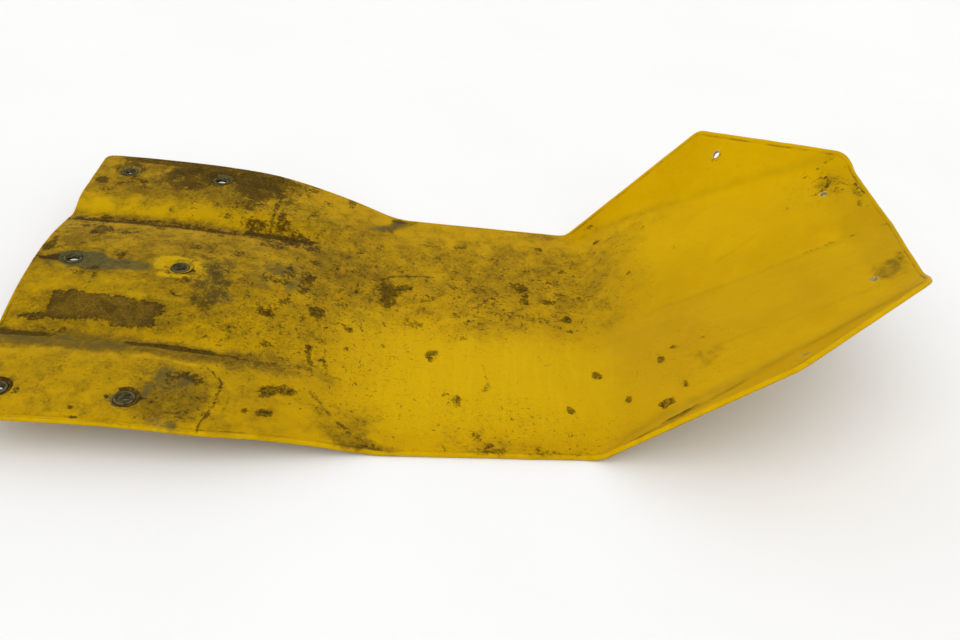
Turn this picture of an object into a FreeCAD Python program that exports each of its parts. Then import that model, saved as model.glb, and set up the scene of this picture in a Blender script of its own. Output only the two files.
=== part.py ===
import FreeCAD, Part
import math
import os

# Spine board: a contoured, moulded board with a bolted platform at one end, a flat waist
# that it rests on, and a flared trough that climbs to the other end.
#
# The frame: millimetres, +X along the board towards the flared end, +Y across it, +Z up.
# The origin is on the rest plane under the waist, at the middle of the board's box.
# "along" is the distance from the bolted end and "across" is the distance from the
# centreline. The board is symmetric about the plane across = 0.

Vector = FreeCAD.Vector
UP = Vector(0, 0, 1)

# ---- the moulded shell -----------------------------------------------------------------
SHELL_THICKNESS = 5.0
BOARD_LENGTH = 838.0           # bolted end to the nose of the flared end
REST_LAND = 0.3                # height of the flat land under the waist that the board rests on
REST_LAND_INSET = 22.0         # from that land's edges to the waist's ends and sides

# The bolted platform: two flat flanges, two valleys and a crowned saddle between them.
PLATFORM_HALF_WIDTH = 236.0
PLATFORM_RISE = 42.6           # flange above the waist at the bolted end
FLANGE_INNER = 134.0           # where a flange turns down into its valley
VALLEY_ACROSS = 106.0
VALLEY_DEPTH = 8.5             # below the flange
SADDLE_CROWN = 5.0             # above the flange
VALLEY_WALL_SLOPE = 0.32
VALLEY_FADE_START = 190.0      # the valleys run out between these two stations
VALLEY_FADE_END = 320.0

# The waist, where the ramp from the platform ends and the trough begins.
WAIST_START = 346.0
WAIST_END = 550.0
WAIST_START_HALF_WIDTH = 205.5
WAIST_END_HALF_WIDTH = 194.5

# The flared trough: two shallow inner panels about the keel and a steep wing each side.
TROUGH_START = 566.7           # where the keel line leaves the waist
KEEL_RISE = 0.564              # slope of the keel line along the board
INNER_SPREAD = 0.10            # slope of the inner panels across the board
SPREAD_START = 547.0           # the trough's floor goes from flat to that slope
SPREAD_END = 627.0             # between these two stations
WING_RISE = 0.82
WING_SPREAD = 0.81

# Roundings where two of these surfaces meet, each as the height over which they blend.
SHOULDER_BLEND = 4.0
VALLEY_BLEND = 5.0
RAMP_BLEND = 8.0
CREASE_BLEND = 8.0
TROUGH_BLEND = 7.0
KEEL_ROUNDING = 15.0           # radius of the rounding along the keel line

# Half of the plan outline from the bolted end to the nose: along, across, corner radius.
HALF_OUTLINE = [
    (0.0, PLATFORM_HALF_WIDTH, 10.0),
    (205.0, 231.0, 300.0),
    (WAIST_START, WAIST_START_HALF_WIDTH, 60.0),
    (WAIST_END, WAIST_END_HALF_WIDTH, 12.0),
    (690.0, 222.5, 16.0),
    (829.0, 121.0, 34.0),
]
NOSE_ROUNDING = 150.0

# ---- the doubler strips bonded on the platform's three lands ---------------------------
DOUBLER_THICKNESS = 1.5
DOUBLER_PROUD = 0.6            # how far a strip stands above the shell around it
BEYOND_EDGE = 40.0             # strips are cut oversize and trimmed to the board's edge
SADDLE_STRIP_HALF_WIDTH = 74.0
SADDLE_STRIP_END = 173.0
FLANGE_STRIP_INNER = 140.0
NEAR_STRIP_CORNER = (197.0, -142.0)
NEAR_STRIP_POINT = (217.0, -165.0)
NEAR_STRIP_OUTER = (209.0, -236.0)
FAR_STRIP_END = 213.0

# ---- the eyeleted bolt holes -----------------------------------------------------------
HOLE_ROWS = {"end": 37.0, "inner": 142.0}
HOLE_COLUMNS = {"near": -198.0, "centre": 0.0, "far": 198.0}
DISH_RADIUS = 14.0
DISH_FOOT_RADIUS = 7.6
DISH_DEPTH = 3.2
EYELET_BORE_RADIUS = 6.0
EYELET_BARREL_RADIUS = 6.9
EYELET_BRIM_RADIUS = 13.4
EYELET_WALL = 0.8
EYELET_FOOT_RADIUS = 9.2
EYELET_FOOT_THICKNESS = 0.9
SEAT_DEPTH = 0.8               # spot face under each hole, so that its washer sits flat
SEAT_RADIUS = 12.4
WASHER_RADIUS = 12.0
WASHER_BORE_RADIUS = 7.0
WASHER_THICKNESS = 1.0

# ---- the plain drilled holes in the flared end -----------------------------------------
CORD_HOLE_RADIUS = 2.75
FLARE_HOLES = (707.0, 188.0)   # along, across each side
NOSE_HOLES = (797.0, 82.0)

# ---- sizes that follow from the ones above ---------------------------------------------
GRID_STEP_ALONG = 8.0
GRID_STEP_ACROSS = 4.0
GRID_MARGIN = 20.0             # the moulded surface is made larger and trimmed
TRIM_HEIGHT = 400.0
NOSE_OVERHANG = SHELL_THICKNESS * math.sin(math.atan(KEEL_RISE))
MIDDLE_ALONG = (BOARD_LENGTH + NOSE_OVERHANG) / 2.0
WAIST_TOP = SHELL_THICKNESS + REST_LAND


def soft_max(a, b, blend):
    """The larger of two heights, rounded where they come within blend of each other."""
    overlap = max(blend - abs(a - b), 0.0)
    return max(a, b) + overlap * overlap / (4.0 * blend)


def soft_min(a, b, blend):
    return -soft_max(-a, -b, blend)


def smooth_step(along, start, end):
    """0 before start, 1 after end, and a smooth rise between them."""
    t = min(max((along - start) / (end - start), 0.0), 1.0)
    return t * t * (3.0 - 2.0 * t)


def platform_height(along, across):
    arch = PLATFORM_RISE * (1.0 - (along / WAIST_START) ** 3)
    saddle = SADDLE_CROWN - (SADDLE_CROWN + VALLEY_DEPTH) * (across / VALLEY_ACROSS) ** 2
    wall = VALLEY_WALL_SLOPE * (abs(across) - FLANGE_INNER)
    flange = soft_min(0.0, wall, SHOULDER_BLEND)
    strength = 1.0 - smooth_step(along, VALLEY_FADE_START, VALLEY_FADE_END)
    return arch + soft_max(saddle, flange, VALLEY_BLEND) * strength


def trough_height(along, across):
    off_keel = math.hypot(across, KEEL_ROUNDING) - KEEL_ROUNDING
    spread = INNER_SPREAD * smooth_step(along, SPREAD_START, SPREAD_END)
    inner = KEEL_RISE * (along - TROUGH_START) + spread * off_keel
    beyond_waist = abs(across) - WAIST_END_HALF_WIDTH
    wing = WING_RISE * (along - WAIST_END) + WING_SPREAD * beyond_waist
    return soft_max(inner, wing, CREASE_BLEND)


def top_height(along, across):
    """Height of the shell's upper surface above the rest plane."""
    ramp_and_waist = soft_max(platform_height(along, across), 0.0, RAMP_BLEND)
    return WAIST_TOP + soft_max(ramp_and_waist, trough_height(along, across), TROUGH_BLEND)


def place(along, across, height=0.0):
    return Vector(along - MIDDLE_ALONG, across, height)


def stations(low, high, step):
    count = int(math.ceil((high - low) / step))
    return [low + (high - low) * i / count for i in range(count + 1)]


def moulded_face(end_along):
    """The upper surface from the bolted end to end_along, with a margin all round."""
    half_width = PLATFORM_HALF_WIDTH + GRID_MARGIN
    rows = []
    for along in stations(-GRID_MARGIN, end_along + GRID_MARGIN, GRID_STEP_ALONG):
        row = [place(along, across, top_height(along, across))
               for across in stations(-half_width, half_width, GRID_STEP_ACROSS)]
        rows.append(row)
    surface = Part.BSplineSurface()
    surface.interpolate(rows)
    return surface.toShape()


def rounded_outline(corners):
    """A closed plan outline of straight sides with an arc of its own radius at each corner."""
    arcs = []
    for i, (along, across, radius) in enumerate(corners):
        corner = place(along, across)
        back = (place(*corners[i - 1][:2]) - corner).normalize()
        ahead = (place(*corners[(i + 1) % len(corners)][:2]) - corner).normalize()
        half_angle = back.getAngle(ahead) / 2.0
        reach = radius / math.tan(half_angle)
        inward = (back + ahead).normalize()
        middle = corner + inward * (radius / math.sin(half_angle) - radius)
        arcs.append(Part.Arc(corner + back * reach, middle, corner + ahead * reach))
    edges = []
    for i, arc in enumerate(arcs):
        edges.append(arc.toShape())
        edges.append(Part.LineSegment(arc.EndPoint, arcs[(i + 1) % len(arcs)].StartPoint).toShape())
    return Part.Wire(edges)


def board_column():
    """The board's plan outline as a tall column that trims the moulded surface."""
    near_half = [(along, -across, radius) for along, across, radius in reversed(HALF_OUTLINE)]
    corners = HALF_OUTLINE + [(BOARD_LENGTH, 0.0, NOSE_ROUNDING)] + near_half
    return Part.Face(rounded_outline(corners)).extrude(UP * TRIM_HEIGHT)


def strip_column(corners):
    """A doubler strip's plan, oversize at the board's edge, as a tall column."""
    points = [place(along, across) for along, across in corners]
    return Part.Face(Part.makePolygon(points + points[:1])).extrude(UP * TRIM_HEIGHT)


def laminate(face, column, thickness):
    """The part of a face inside a column, thickened downwards square to the surface."""
    trimmed = face.common(column).Faces[0]
    return trimmed.makeOffsetShape(-thickness, 0.01, fill=True)


def make_strips():
    """The three reinforcing strips, one on each land, still oversize at the board's edge."""
    flange_outer = PLATFORM_HALF_WIDTH + BEYOND_EDGE
    plans = {
        "near_flange_doubler": [
            (-BEYOND_EDGE, -flange_outer),
            (NEAR_STRIP_OUTER[0], -flange_outer),
            NEAR_STRIP_OUTER,
            NEAR_STRIP_POINT,
            NEAR_STRIP_CORNER,
            (-BEYOND_EDGE, -FLANGE_STRIP_INNER),
        ],
        "saddle_doubler": [
            (-BEYOND_EDGE, -SADDLE_STRIP_HALF_WIDTH),
            (SADDLE_STRIP_END, -SADDLE_STRIP_HALF_WIDTH),
            (SADDLE_STRIP_END, SADDLE_STRIP_HALF_WIDTH),
            (-BEYOND_EDGE, SADDLE_STRIP_HALF_WIDTH),
        ],
        "far_flange_doubler": [
            (-BEYOND_EDGE, FLANGE_STRIP_INNER),
            (FAR_STRIP_END, FLANGE_STRIP_INNER),
            (FAR_STRIP_END, flange_outer),
            (-BEYOND_EDGE, flange_outer),
        ],
    }
    face = moulded_face(FAR_STRIP_END)
    strips = {}
    for name, plan in plans.items():
        strips[name] = laminate(face, strip_column(plan), DOUBLER_THICKNESS)
        strips[name].translate(UP * DOUBLER_PROUD)
    return strips


def revolved(profile, along, across, height):
    """A closed radius-height profile turned about a vertical axis at a place on the board."""
    points = [Vector(radius, 0, z) for radius, z in profile]
    section = Part.Face(Part.makePolygon(points + points[:1]))
    solid = section.revolve(Vector(0, 0, 0), UP, 360)
    solid.translate(place(along, across, height))
    return solid


# Heights down a bolt hole, measured from the top of its doubler.
SEAT_LEVEL = SEAT_DEPTH - SHELL_THICKNESS - DOUBLER_PROUD
WASHER_BOTTOM = SEAT_LEVEL - WASHER_THICKNESS
FOOT_BOTTOM = WASHER_BOTTOM - EYELET_FOOT_THICKNESS
DISH_SLOPE = DISH_DEPTH / (DISH_RADIUS - DISH_FOOT_RADIUS)


def bolt_hole_cutter(along, across, height):
    """The dished recess, the hole through it and the spot face beneath."""
    clear = 3.0
    dish_top_radius = DISH_RADIUS + clear / DISH_SLOPE
    profile = [
        (0.0, clear),
        (dish_top_radius, clear),
        (DISH_FOOT_RADIUS, -DISH_DEPTH),
        (EYELET_BARREL_RADIUS, -DISH_DEPTH),
        (EYELET_BARREL_RADIUS, SEAT_LEVEL),
        (SEAT_RADIUS, SEAT_LEVEL),
        (SEAT_RADIUS, SEAT_LEVEL - clear),
        (0.0, SEAT_LEVEL - clear),
    ]
    return revolved(profile, along, across, height)


def make_eyelet(along, across, height):
    """A pressed eyelet: a dished brim, a barrel through the hole and a rolled foot."""
    brim_drop = (DISH_RADIUS - EYELET_BRIM_RADIUS) * DISH_SLOPE
    tilt = math.atan(DISH_SLOPE)
    inwards = EYELET_WALL * math.sin(tilt)
    upwards = EYELET_WALL * math.cos(tilt)
    profile = [
        (EYELET_BRIM_RADIUS, -brim_drop),
        (DISH_FOOT_RADIUS, -DISH_DEPTH),
        (EYELET_BARREL_RADIUS, -DISH_DEPTH),
        (EYELET_BARREL_RADIUS, WASHER_BOTTOM),
        (EYELET_FOOT_RADIUS, WASHER_BOTTOM),
        (EYELET_BARREL_RADIUS, FOOT_BOTTOM),
        (EYELET_BORE_RADIUS, FOOT_BOTTOM),
        (EYELET_BORE_RADIUS, upwards - DISH_DEPTH),
        (DISH_FOOT_RADIUS - inwards, upwards - DISH_DEPTH),
        (EYELET_BRIM_RADIUS - inwards, upwards - brim_drop),
    ]
    return revolved(profile, along, across, height)


def make_washer(along, across, height):
    """The backing washer that an eyelet's foot is rolled over, under the shell."""
    profile = [
        (WASHER_BORE_RADIUS, WASHER_BOTTOM),
        (WASHER_RADIUS, WASHER_BOTTOM),
        (WASHER_RADIUS, SEAT_LEVEL),
        (WASHER_BORE_RADIUS, SEAT_LEVEL),
    ]
    return revolved(profile, along, across, height)


def surface_normal(along, across):
    """The upward normal of the moulded surface, from heights a short step either side."""
    step = 0.5
    slope_along = (top_height(along + step, across) - top_height(along - step, across)) / (2 * step)
    slope_across = (top_height(along, across + step) - top_height(along, across - step)) / (2 * step)
    return Vector(-slope_along, -slope_across, 1.0).normalize()


def cord_hole_cutter(along, across):
    """A drill square to the surface, long enough to pass through the shell."""
    clear = 4.0
    normal = surface_normal(along, across)
    start = place(along, across, top_height(along, across)) + normal * clear
    return Part.makeCylinder(CORD_HOLE_RADIUS, SHELL_THICKNESS + 2 * clear, start, normal * -1)


def make_rest_land():
    """The flat land under the waist, sunk into the laminate so that the two fuse."""
    length = WAIST_END - WAIST_START - 2 * REST_LAND_INSET
    half_width = WAIST_END_HALF_WIDTH - REST_LAND_INSET
    corner = place(WAIST_START + REST_LAND_INSET, -half_width)
    return Part.makeBox(length, 2 * half_width, SHELL_THICKNESS / 2, corner)


def make_shell(strips, bolt_holes):
    """The moulded board, with its rest land, rebated for the strips and drilled."""
    shell = laminate(moulded_face(BOARD_LENGTH), board_column(), SHELL_THICKNESS)
    cutters = list(strips.values()) + bolt_holes
    for along, across in (FLARE_HOLES, NOSE_HOLES):
        for side in (-1, 1):
            cutters.append(cord_hole_cutter(along, side * across))
    return shell.cut(cutters).fuse(make_rest_land()).Solids[0]


def make_parts():
    parts = {}
    bolt_holes = []
    for column, across in HOLE_COLUMNS.items():
        for row, along in HOLE_ROWS.items():
            height = top_height(along, across) + DOUBLER_PROUD
            bolt_holes.append(bolt_hole_cutter(along, across, height))
            parts["eyelet_" + column + "_" + row] = make_eyelet(along, across, height)
            parts["washer_" + column + "_" + row] = make_washer(along, across, height)
    strips = make_strips()
    parts["board_shell"] = make_shell(strips, bolt_holes)
    for name, strip in strips.items():
        parts[name] = strip.common(board_column()).cut(bolt_holes).Solids[0]
    return parts


os.makedirs("parts", exist_ok=True)
for name, shape in sorted(make_parts().items()):
    shape.exportStep("parts/" + name + ".step")
    print(name, shape.ShapeType, len(shape.Solids), shape.isValid(), round(shape.Volume))
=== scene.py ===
import math
import bpy
import numpy as np
from mathutils import Euler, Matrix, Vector
from mathutils.geometry import delaunay_2d_cdt
from mathutils.kdtree import KDTree


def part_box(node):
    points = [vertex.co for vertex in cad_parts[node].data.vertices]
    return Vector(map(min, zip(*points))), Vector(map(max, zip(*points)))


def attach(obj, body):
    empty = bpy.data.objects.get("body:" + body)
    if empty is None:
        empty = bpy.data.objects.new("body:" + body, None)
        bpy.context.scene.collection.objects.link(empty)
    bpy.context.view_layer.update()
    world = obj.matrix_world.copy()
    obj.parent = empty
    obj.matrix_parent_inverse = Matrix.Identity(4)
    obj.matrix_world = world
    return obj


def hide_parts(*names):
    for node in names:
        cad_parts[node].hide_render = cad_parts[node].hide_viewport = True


# The spine board's looks. Every shape is worked out in millimetres from the board's own
# design values, as "along" (from the bolted end) and "across" (from the centreline), and is
# turned into metres in the part's frame when its mesh is made.

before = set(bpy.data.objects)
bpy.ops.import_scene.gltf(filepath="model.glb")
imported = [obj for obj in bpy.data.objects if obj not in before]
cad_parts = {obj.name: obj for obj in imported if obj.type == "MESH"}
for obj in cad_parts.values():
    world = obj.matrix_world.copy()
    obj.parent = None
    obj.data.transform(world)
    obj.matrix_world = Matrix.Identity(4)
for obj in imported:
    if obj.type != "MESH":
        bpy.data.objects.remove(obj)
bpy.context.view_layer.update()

MM = 0.001

# ---- the board's design values ----
THICKNESS = 5.0
REST_LAND = 0.3
BOARD_LENGTH = 838.0
WAIST_TOP = THICKNESS + REST_LAND
PLATFORM_HALF_WIDTH = 236.0
PLATFORM_RISE = 42.6
FLANGE_INNER = 134.0
VALLEY_ACROSS = 106.0
VALLEY_DEPTH = 8.5
SADDLE_CROWN = 5.0
VALLEY_WALL_SLOPE = 0.32
VALLEY_FADE = (190.0, 320.0)
WAIST_START = 346.0
WAIST_END = 550.0
WAIST_END_HALF_WIDTH = 194.5
TROUGH_START = 566.7
KEEL_RISE = 0.564
INNER_SPREAD = 0.10
SPREAD = (547.0, 627.0)
WING_RISE = 0.82
WING_SPREAD = 0.81
SHOULDER_BLEND = 4.0
VALLEY_BLEND = 5.0
RAMP_BLEND = 8.0
CREASE_BLEND = 8.0
TROUGH_BLEND = 7.0
KEEL_ROUNDING = 15.0
HALF_OUTLINE = [
    # along, across, radius of the rounded corner
    (0.0, PLATFORM_HALF_WIDTH, 10.0),
    (205.0, 231.0, 300.0),
    (WAIST_START, 205.5, 60.0),
    (WAIST_END, WAIST_END_HALF_WIDTH, 12.0),
    (690.0, 222.5, 16.0),
    (829.0, 121.0, 34.0),
]
NOSE_ROUNDING = 150.0
HOLE_ROWS = {"end": 37.0, "inner": 142.0}
HOLE_COLUMNS = {"near": -198.0, "centre": 0.0, "far": 198.0}
CORD_HOLES = [(707.0, 188.0), (707.0, -188.0), (797.0, 82.0), (797.0, -82.0)]
CORD_HOLE_RADIUS = 2.75
RAW_RING = (3.15, 4.45)                # radii between which the coat thins round a cord hole
DOUBLER_THICKNESS = 1.5
DOUBLER_PROUD = 0.6
DISH_RADIUS = 14.0
DISH_FOOT_RADIUS = 7.6
DISH_DEPTH = 3.2
SEAT_DEPTH = 0.8
SEAT_RADIUS = 12.4
LAND_ALONG = (368.0, 528.0)
LAND_HALF_WIDTH = 172.5

eyelet_low, eyelet_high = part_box("eyelet_centre_end")
MIDDLE_ALONG = HOLE_ROWS["end"] - (eyelet_low.x + eyelet_high.x) / 2 / MM


# ---- smooth random values over the plan ----
LATTICE = 64


def cloud(points, size, seed, octaves=3):
    """Smooth values from 0 to 1, with features about size millimetres across."""
    lattice = np.random.default_rng(seed).random((LATTICE, LATTICE))
    total = np.zeros(len(points))
    weight = 0.0
    for octave in range(octaves):
        spot = points / size * 2.0 ** octave + 1000.0 + 17.3 * octave
        cell = np.floor(spot).astype(int)
        t = spot - cell
        t = t * t * (3.0 - 2.0 * t)
        i0, j0 = cell[:, 0] % LATTICE, cell[:, 1] % LATTICE
        i1, j1 = (i0 + 1) % LATTICE, (j0 + 1) % LATTICE
        low = lattice[i0, j0] * (1 - t[:, 0]) + lattice[i1, j0] * t[:, 0]
        high = lattice[i0, j1] * (1 - t[:, 0]) + lattice[i1, j1] * t[:, 0]
        total += (low * (1 - t[:, 1]) + high * t[:, 1]) * 0.5 ** octave
        weight += 0.5 ** octave
    return total / weight


# ---- the moulded surface ----
def soft_max(a, b, blend):
    overlap = np.maximum(blend - np.abs(a - b), 0.0)
    return np.maximum(a, b) + overlap * overlap / (4.0 * blend)


def soft_min(a, b, blend):
    return -soft_max(-a, -b, blend)


def smooth_step(value, start, end):
    t = np.clip((value - start) / (end - start), 0.0, 1.0)
    return t * t * (3.0 - 2.0 * t)


def top_height(along, across):
    arch = PLATFORM_RISE * (1.0 - (along / WAIST_START) ** 3)
    saddle = SADDLE_CROWN - (SADDLE_CROWN + VALLEY_DEPTH) * (across / VALLEY_ACROSS) ** 2
    flange = soft_min(0.0, VALLEY_WALL_SLOPE * (np.abs(across) - FLANGE_INNER), SHOULDER_BLEND)
    strength = 1.0 - smooth_step(along, *VALLEY_FADE)
    platform = arch + soft_max(saddle, flange, VALLEY_BLEND) * strength
    off_keel = np.hypot(across, KEEL_ROUNDING) - KEEL_ROUNDING
    inner = KEEL_RISE * (along - TROUGH_START) + INNER_SPREAD * smooth_step(along, *SPREAD) * off_keel
    wing = WING_RISE * (along - WAIST_END) + WING_SPREAD * (np.abs(across) - WAIST_END_HALF_WIDTH)
    trough = soft_max(inner, wing, CREASE_BLEND)
    return WAIST_TOP + soft_max(soft_max(platform, 0.0, RAMP_BLEND), trough, TROUGH_BLEND)


def surface(plan):
    height = top_height(plan[:, 0], plan[:, 1])
    return np.column_stack([plan[:, 0] - MIDDLE_ALONG, plan[:, 1], height])


def surface_normals(plan):
    step = 0.5
    slopes = []
    for axis in (0, 1):
        shift = np.zeros(2)
        shift[axis] = step
        ahead, back = plan + shift, plan - shift
        rise = top_height(ahead[:, 0], ahead[:, 1]) - top_height(back[:, 0], back[:, 1])
        slopes.append(rise / (2 * step))
    normals = np.column_stack([-slopes[0], -slopes[1], np.ones(len(plan))])
    return normals / np.linalg.norm(normals, axis=1)[:, None]


# ---- plan outlines ----
OUTLINE_STEP = 2.6


def unit(vector):
    return vector / np.linalg.norm(vector)


def rounded(corners):
    """A closed plan line through rounded corners, given as along, across and radius."""
    points = np.array([corner[:2] for corner in corners])
    line = []
    for i, (along, across, radius) in enumerate(corners):
        corner = points[i]
        back, ahead = unit(points[i - 1] - corner), unit(points[(i + 1) % len(points)] - corner)
        half_angle = math.acos(np.clip(back @ ahead, -1, 1)) / 2
        centre = corner + unit(back + ahead) * radius / math.sin(half_angle)
        start = corner + back * radius / math.tan(half_angle) - centre
        end = corner + ahead * radius / math.tan(half_angle) - centre
        turn = math.atan2(start[0] * end[1] - start[1] * end[0], start @ end)
        count = max(4, int(abs(turn) * radius / OUTLINE_STEP))
        for k in range(count + 1):
            a = turn * k / count
            line.append(centre + start @ np.array([[math.cos(a), math.sin(a)],
                                                   [-math.sin(a), math.cos(a)]]))
    return divided(np.array(line))


def divided(line):
    """The same closed line with no stretch longer than OUTLINE_STEP, and no tiny ones."""
    result = []
    for a, b in zip(line, np.roll(line, -1, axis=0)):
        count = max(1, int(math.ceil(np.linalg.norm(b - a) / OUTLINE_STEP - 1e-6)))
        result += [a + (b - a) * k / count for k in range(count)]
    result = np.array(result)
    apart = np.linalg.norm(result - np.roll(result, 1, axis=0), axis=1)
    return result[apart > 0.3]


def left_normals(line):
    tangent = np.roll(line, -1, axis=0) - np.roll(line, 1, axis=0)
    tangent /= np.linalg.norm(tangent, axis=1)[:, None]
    return np.column_stack([-tangent[:, 1], tangent[:, 0]])


EDGE_TRIM = 0.1
EDGE_WAVER = 0.55
WAVER_SIZE = 24.0


def board_outline():
    """The board's plan outline, with the slight waver of a hand-trimmed edge."""
    far = list(HALF_OUTLINE)
    near = [(along, -across, radius) for along, across, radius in reversed(far)]
    corners = far + [(BOARD_LENGTH, 0.0, NOSE_ROUNDING)] + near
    line = rounded(corners[::-1])
    waver = EDGE_TRIM + EDGE_WAVER * cloud(line, WAVER_SIZE, 3)
    return line + left_normals(line) * waver[:, None]


def clipped(line, convex):
    """The part of a closed line inside a convex one, both turning left."""
    for a, b in zip(convex, convex[1:] + convex[:1]):
        a, b = np.array(a), np.array(b)
        side = (b[0] - a[0]) * (line[:, 1] - a[1]) - (b[1] - a[1]) * (line[:, 0] - a[0])
        kept = []
        for i in range(len(line)):
            j = (i + 1) % len(line)
            if side[i] >= 0:
                kept.append(line[i])
            if (side[i] >= 0) != (side[j] >= 0):
                kept.append(line[i] + (line[j] - line[i]) * side[i] / (side[i] - side[j]))
        line = np.array(kept)
    return line


def softened(line, rounds):
    """A closed line, evenly divided, with its corners eased."""
    line = divided(line)
    for _ in range(rounds):
        line = line * 0.5 + (np.roll(line, 1, axis=0) + np.roll(line, -1, axis=0)) * 0.25
    return line


def to_segments(points, starts, ends):
    """Distance from each point to the segment of the same row."""
    run = ends - starts
    offset = points - starts
    t = np.clip((offset * run).sum(axis=-1) / (run ** 2).sum(axis=-1), 0, 1)
    return np.sqrt(((offset - t[..., None] * run) ** 2).sum(axis=-1))


def to_path(points, path):
    """Distance from each point to an open path of a few points."""
    path = np.array(path, float)
    return to_segments(points[:, None, :], path[None, :-1], path[None, 1:]).min(axis=1)


def depth_inside(points, line):
    """Distance inside a closed, finely divided line that turns left; negative outside."""
    tree = KDTree(len(line))
    for i, (along, across) in enumerate(line):
        tree.insert((along, across, 0.0), i)
    tree.balance()
    nearest = np.array([tree.find((along, across, 0.0))[1] for along, across in points])
    before, here, after = line[nearest - 1], line[nearest], line[(nearest + 1) % len(line)]
    distance = np.minimum(to_segments(points, before, here), to_segments(points, here, after))
    side = ((points - here) * left_normals(line)[nearest]).sum(axis=1)
    return np.where(side >= 0, distance, -distance)


BOARD_LINE = board_outline()
# The rim's section: inset from the edge, depth below the top, and how far it is still top.
RIM_TOP = [(5.6, 0.0, 1.0), (4.4, 0.0, 1.0), (3.5, 0.0, 1.0), (2.7, 0.0, 1.0), (1.7, 0.0, 1.0),
           (0.9, 0.08, 1.0), (0.35, 0.35, 1.0), (0.08, 0.8, 0.8)]
BOLT_HOLES = [(along, across) for across in HOLE_COLUMNS.values() for along in HOLE_ROWS.values()]


# How far apart the points inside a sheet lie, on its top and on its underside.
SHELL_SPACING = 2.7
STRIP_SPACING = 1.9
UNDER_SPACING = 6.0


# ---- small relief on the top: unevenness, the rim's groove, dents ----
SAG, RIPPLE = (0.35, 70.0), (0.14, 22.0)            # depth and size of each unevenness
GROOVE_INSET, GROOVE_HALF_WIDTH = 3.5, 0.8          # the line pressed in beside the rim
GROOVE_DEPTHS, GROOVE_SIZE = (0.25, 0.5), 30.0      # its least depth, and how much more it has
# Each slit along a valley: three points, half width and depth.
CREASE_SLITS = [
    ((124, -117), (162, -118.5), (203, -116), 2.6, 1.3),
    ((198, 101), (222, 99.5), (246, 100), 2.8, 1.4),
]


def relief(plan, edge):
    """How far the real top is below the moulded surface, in millimetres."""
    low = SAG[0] * cloud(plan, SAG[1], 11, 2) + RIPPLE[0] * cloud(plan, RIPPLE[1], 12, 2)
    groove = GROOVE_DEPTHS[0] + GROOVE_DEPTHS[1] * cloud(plan, GROOVE_SIZE, 13, 2)
    low += np.exp(-((edge - GROOVE_INSET) / GROOVE_HALF_WIDTH) ** 2) * groove
    for start, middle, end, half_width, depth in CREASE_SLITS:
        off = to_path(plan, (start, middle, end))
        low += depth * np.exp(-(off / half_width) ** 2)
    return low


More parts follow.
